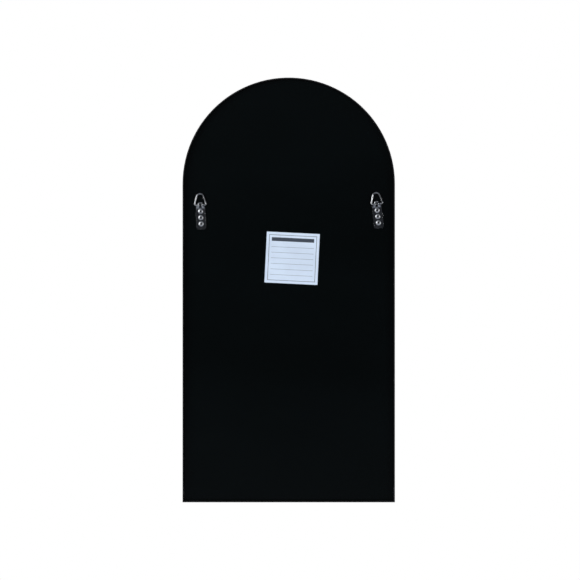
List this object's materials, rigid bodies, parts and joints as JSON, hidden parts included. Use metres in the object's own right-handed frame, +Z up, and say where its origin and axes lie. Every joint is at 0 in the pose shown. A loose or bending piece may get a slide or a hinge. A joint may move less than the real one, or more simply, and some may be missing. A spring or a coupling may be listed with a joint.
{
  "type": "arched wall mirror",
  "caption": "Arched wall mirror in a thin black metal frame, with a black backing board, a paper label and swinging ring hangers for wall screws.",
  "frame": {"origin": "on the wall plane, at the middle of the bottom edge", "axes": "+Z up, +Y towards the wall, -Y out of the glass, +X to the right of a person who faces the glass"},
  "size_m": [0.4, 0.025, 0.8],
  "materials": {
    "powder_coat": "black powder coat on bent aluminium",
    "zinc_plate": "zinc plated",
    "black_screw": "black oxide",
    "gasket_rubber": "matt black",
    "silvered_glass": "polished",
    "safety_film": "woven film",
    "foam_tape": "double-sided foam",
    "black_board": "satin black paint on fibreboard",
    "nickel_plate": "nickel plated sheet",
    "nickel_wire": "nickel plated wire",
    "nickel_screw": "nickel plated",
    "label_paper": "matt coated"
  },
  "bodies": {
    "mirror": {"frame_arch": "powder_coat", "frame_bottom_rail": "powder_coat", "corner_bracket_left": "zinc_plate", "corner_bracket_right": "zinc_plate", "corner_bracket_screws_left": "black_screw", "corner_bracket_screws_right": "black_screw", "lip_gasket": "gasket_rubber", "mirror_glass": "silvered_glass", "safety_film": "safety_film", "mounting_tape": "foam_tape", "setting_blocks": "gasket_rubber", "backboard": "black_board", "board_screws": "black_screw", "hanger_strap_left": "nickel_plate", "hanger_screws_left": "nickel_screw", "hanger_strap_right": "nickel_plate", "hanger_screws_right": "nickel_screw", "paper_label": "label_paper"},
    "ring_left": {"hanger_ring_left": "nickel_wire"},
    "ring_right": {"hanger_ring_right": "nickel_wire"}
  },
  "joints": [
    {"name": "hanger_ring_swing_left", "type": "hinge", "parent": "mirror", "child": "ring_left", "pos_m": [-0.1656, -0.0052, 0.5621], "axis": [-0.9945, 0, 0.1045], "range_deg": [-2.5, 138]},
    {"name": "hanger_ring_swing_right", "type": "hinge", "parent": "mirror", "child": "ring_right", "pos_m": [0.1668, -0.0052, 0.5601], "axis": [-0.999, 0, 0.0436], "range_deg": [-2.5, 138]}
  ]
}
